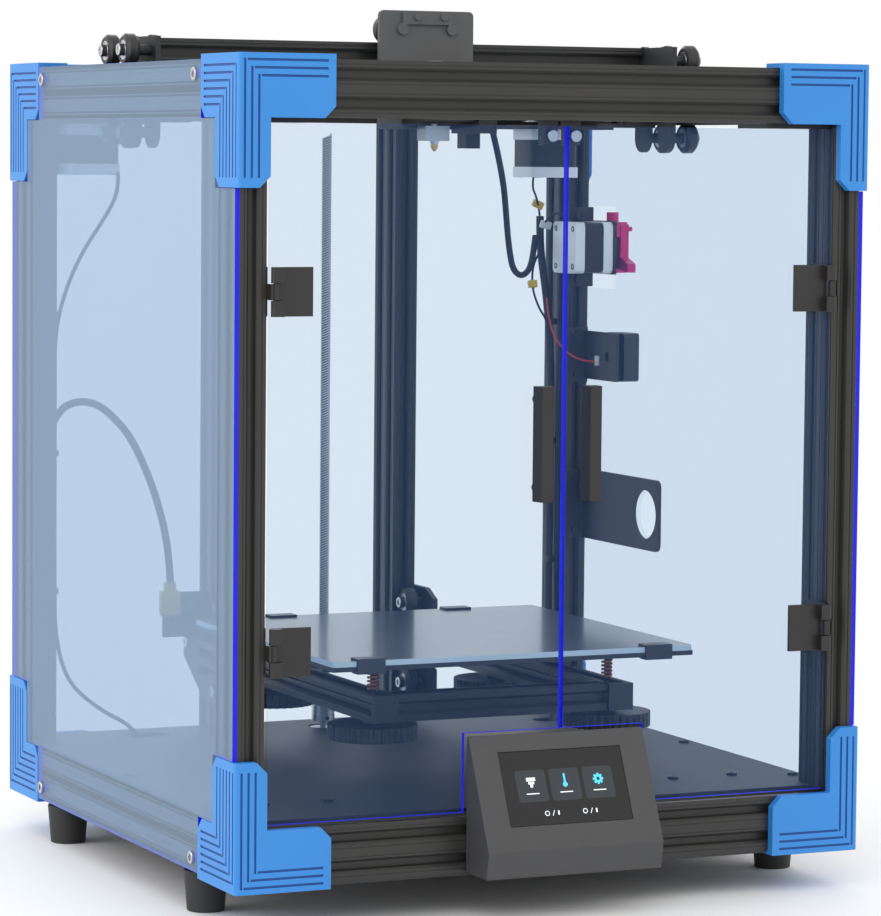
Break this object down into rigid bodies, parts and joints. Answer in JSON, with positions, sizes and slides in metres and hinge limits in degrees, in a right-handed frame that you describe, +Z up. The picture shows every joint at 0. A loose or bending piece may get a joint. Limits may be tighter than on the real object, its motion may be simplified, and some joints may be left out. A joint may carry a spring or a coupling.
{
  "type": "fdm printer",
  "caption": "Enclosed desktop filament printer: slotted frame, tinted sheets, twin doors, belt-driven gantry, screw-lifted heated bed, sloping touch display.",
  "frame": {"origin": "on the floor, under the middle of the square frame", "axes": "+Z up, -Y towards the doors, +X to the right of someone facing the doors"},
  "size_m": [0.5153, 0.5417, 0.6486],
  "materials": {
    "black_anodised": "matt black anodised",
    "blue_plastic": "satin blue moulded plastic",
    "blue_tint_acrylic": "clear blue-tinted acrylic sheet",
    "black_sheet": "black powder coat",
    "black_rubber": "matt",
    "display_plastic": "dark grey textured",
    "screen_glass": "dark glass with lit icons",
    "black_plastic": "satin black",
    "motor_steel": "black laminated body with bare end caps",
    "bare_steel": "bright zinc",
    "brass": "machined",
    "bare_aluminium": "machined",
    "belt_rubber": "toothed belt",
    "wheel_plastic": "moulded acetal",
    "spring_steel": "copper-coloured spring wire",
    "bed_aluminium": "heated plate, dark",
    "bed_glass": "coated glass",
    "red_metal": "red anodised",
    "cable_sleeve": "braided sleeve",
    "board_green": "circuit board",
    "hot_end_metal": "machined fins"
  },
  "bodies": {
    "frame": {"base_plates": "black_sheet", "belt_idlers": "bare_aluminium", "control_board": "board_green", "corner_caps": "blue_plastic", "corner_posts": "black_anodised", "display_housing": "display_plastic", "drive_brackets": "black_sheet", "extruder_body": "red_metal", "filament_sensor": "black_plastic", "fixed_belts": "belt_rubber", "frame_beams": "black_anodised", "frame_screws": "bare_steel", "hinge_mounts": "black_plastic", "post_brackets": "black_sheet", "power_inlet": "black_sheet", "power_supply": "bare_aluminium", "rubber_feet": "black_rubber", "side_panels": "blue_tint_acrylic", "stepper_motors": "motor_steel", "touch_screen": "screen_glass", "wire_looms": "cable_sleeve"},
    "left_door": {"left_door_panel": "blue_tint_acrylic", "left_door_fittings": "black_plastic"},
    "right_door": {"right_door_panel": "blue_tint_acrylic", "right_door_fittings": "black_plastic"},
    "rocker": {"power_rocker": "black_plastic"},
    "lead_screw": {"lead_screw": "bare_steel"},
    "left_pulley": {"left_drive_pulley": "bare_aluminium"},
    "right_pulley": {"right_drive_pulley": "bare_aluminium"},
    "gear": {"extruder_gear": "brass"},
    "lever": {"extruder_lever": "red_metal"},
    "gantry": {"gantry_plates": "black_anodised", "gantry_idlers": "bare_aluminium", "x_beam": "black_anodised", "gantry_belts": "belt_rubber"},
    "gantry_upper_front": {"upper_front_wheels": "wheel_plastic"},
    "gantry_upper_rear": {"upper_rear_wheels": "wheel_plastic"},
    "gantry_lower_front": {"lower_front_wheels": "wheel_plastic"},
    "gantry_lower_rear": {"lower_rear_wheels": "wheel_plastic"},
    "carriage": {"carriage_plate": "black_anodised", "hot_end": "hot_end_metal", "hot_end_fans": "black_plastic", "hot_end_loom": "cable_sleeve"},
    "carriage_wheel_left": {"carriage_left_wheel": "wheel_plastic"},
    "carriage_wheel_right": {"carriage_right_wheel": "wheel_plastic"},
    "carriage_wheel_low": {"carriage_lower_wheel": "wheel_plastic"},
    "bed": {"bed_frame": "black_anodised", "bed_side_plates": "black_sheet", "heated_plate": "bed_aluminium", "print_glass": "bed_glass", "glass_clips": "bare_steel", "bed_springs": "spring_steel", "bed_cable": "cable_sleeve"},
    "bed_wheel_upper": {"bed_upper_wheels": "wheel_plastic"},
    "bed_wheel_lower": {"bed_lower_wheels": "wheel_plastic"},
    "bed_wheel_rear": {"bed_rear_wheels": "wheel_plastic"},
    "knob_front_left": {"front_left_knob": "black_plastic"},
    "knob_front_right": {"front_right_knob": "black_plastic"},
    "knob_rear_left": {"rear_left_knob": "black_plastic"},
    "knob_rear_right": {"rear_right_knob": "black_plastic"}
  },
  "joints": [
    {"name": "left_door_swing", "type": "hinge", "parent": "frame", "child": "left_door", "pos_m": [-0.2192, -0.246, 0.319], "axis": [0, 0, -1], "range_deg": [0, 135]},
    {"name": "right_door_swing", "type": "hinge", "parent": "frame", "child": "right_door", "pos_m": [0.2192, -0.246, 0.319], "axis": [0, 0, 1], "range_deg": [0, 135]},
    {"name": "gantry_slide", "type": "slide", "parent": "frame", "child": "gantry", "axis": [0, 1, 0], "range_m": [-0.17, 0.084], "deforming": ["gantry_belts"]},
    {"name": "carriage_slide", "type": "slide", "parent": "gantry", "child": "carriage", "axis": [1, 0, 0], "range_m": [-0.142, 0.108], "deforming": ["hot_end_loom"]},
    {"name": "bed_slide", "type": "slide", "parent": "frame", "child": "bed", "axis": [0, 0, 1], "range_m": [-0.018, 0.362], "deforming": ["bed_cable"]},
    {"name": "lead_screw_spin", "type": "hinge", "parent": "frame", "child": "lead_screw", "pos_m": [0, 0.186, 0.32], "axis": [0, 0, 1], "continuous": true},
    {"name": "gantry_upper_front_roll", "type": "hinge", "parent": "gantry", "child": "gantry_upper_front", "pos_m": [0, 0.0085, 0.6138], "axis": [1, 0, 0], "continuous": true},
    {"name": "gantry_upper_rear_roll", "type": "hinge", "parent": "gantry", "child": "gantry_upper_rear", "pos_m": [0, 0.0475, 0.6138], "axis": [1, 0, 0], "continuous": true},
    {"name": "gantry_lower_front_roll", "type": "hinge", "parent": "gantry", "child": "gantry_lower_front", "pos_m": [0, 0.0085, 0.5532], "axis": [1, 0, 0], "continuous": true},
    {"name": "gantry_lower_rear_roll", "type": "hinge", "parent": "gantry", "child": "gantry_lower_rear", "pos_m": [0, 0.0475, 0.5532], "axis": [1, 0, 0], "continuous": true},
    {"name": "carriage_wheel_left_roll", "type": "hinge", "parent": "carriage", "child": "carriage_wheel_left", "pos_m": [-0.00375, 0.056, 0.6346], "axis": [0, 1, 0], "continuous": true},
    {"name": "carriage_wheel_right_roll", "type": "hinge", "parent": "carriage", "child": "carriage_wheel_right", "pos_m": [0.03775, 0.056, 0.6346], "axis": [0, 1, 0], "continuous": true},
    {"name": "carriage_wheel_low_roll", "type": "hinge", "parent": "carriage", "child": "carriage_wheel_low", "pos_m": [0.017, 0.056, 0.594], "axis": [0, 1, 0], "continuous": true},
    {"name": "bed_wheel_upper_roll", "type": "hinge", "parent": "bed", "child": "bed_wheel_upper", "pos_m": [0, 0.1902, 0.172], "axis": [1, 0, 0], "continuous": true},
    {"name": "bed_wheel_lower_roll", "type": "hinge", "parent": "bed", "child": "bed_wheel_lower", "pos_m": [0, 0.1902, 0.106], "axis": [1, 0, 0], "continuous": true},
    {"name": "bed_wheel_rear_roll", "type": "hinge", "parent": "bed", "child": "bed_wheel_rear", "pos_m": [0, 0.2508, 0.139], "axis": [1, 0, 0], "continuous": true},
    {"name": "knob_front_left_turn", "type": "hinge", "parent": "bed", "child": "knob_front_left", "pos_m": [-0.0955, -0.134, 0.119], "axis": [0, 0, 1], "continuous": true},
    {"name": "knob_front_right_turn", "type": "hinge", "parent": "bed", "child": "knob_front_right", "pos_m": [0.0955, -0.134, 0.119], "axis": [0, 0, 1], "continuous": true},
    {"name": "knob_rear_left_turn", "type": "hinge", "parent": "bed", "child": "knob_rear_left", "pos_m": [-0.0955, 0.061, 0.119], "axis": [0, 0, 1], "continuous": true},
    {"name": "knob_rear_right_turn", "type": "hinge", "parent": "bed", "child": "knob_rear_right", "pos_m": [0.0955, 0.061, 0.119], "axis": [0, 0, 1], "continuous": true},
    {"name": "left_pulley_spin", "type": "hinge", "parent": "frame", "child": "left_pulley", "pos_m": [-0.2005, 0.196, 0.57], "axis": [0, 0, 1], "continuous": true},
    {"name": "right_pulley_spin", "type": "hinge", "parent": "frame", "child": "right_pulley", "pos_m": [0.2005, 0.196, 0.581], "axis": [0, 0, 1], "continuous": true},
    {"name": "extruder_gear_spin", "type": "hinge", "parent": "frame", "child": "gear", "pos_m": [0.255, 0.1763, 0.463], "axis": [1, 0, 0], "continuous": true},
    {"name": "extruder_lever_squeeze", "type": "hinge", "parent": "frame", "child": "lever", "pos_m": [0.254, 0.1608, 0.4785], "axis": [-1, 0, 0], "range_deg": [0, 8], "stiffness_Nm_per_rad": 0.3, "springref_deg": -11.46},
    {"name": "power_rocker_tilt", "type": "hinge", "parent": "frame", "child": "rocker", "pos_m": [0.16, 0.232, 0.0515], "axis": [0, 0, 1], "range_deg": [0, 14]}
  ],
  "couplings": [
    {"joint": "lead_screw_spin", "follows": "bed_slide", "rad_per_m": -785.4},
    {"joint": "gantry_upper_front_roll", "follows": "gantry_slide", "rad_per_m": -97.087},
    {"joint": "gantry_upper_rear_roll", "follows": "gantry_slide", "rad_per_m": -97.087},
    {"joint": "gantry_lower_front_roll", "follows": "gantry_slide", "rad_per_m": 97.087},
    {"joint": "gantry_lower_rear_roll", "follows": "gantry_slide", "rad_per_m": 97.087},
    {"joint": "carriage_wheel_left_roll", "follows": "carriage_slide", "rad_per_m": 97.087},
    {"joint": "carriage_wheel_right_roll", "follows": "carriage_slide", "rad_per_m": 97.087},
    {"joint": "carriage_wheel_low_roll", "follows": "carriage_slide", "rad_per_m": -97.087},
    {"joint": "bed_wheel_upper_roll", "follows": "bed_slide", "rad_per_m": -97.087},
    {"joint": "bed_wheel_lower_roll", "follows": "bed_slide", "rad_per_m": -97.087},
    {"joint": "bed_wheel_rear_roll", "follows": "bed_slide", "rad_per_m": 97.087}
  ]
}
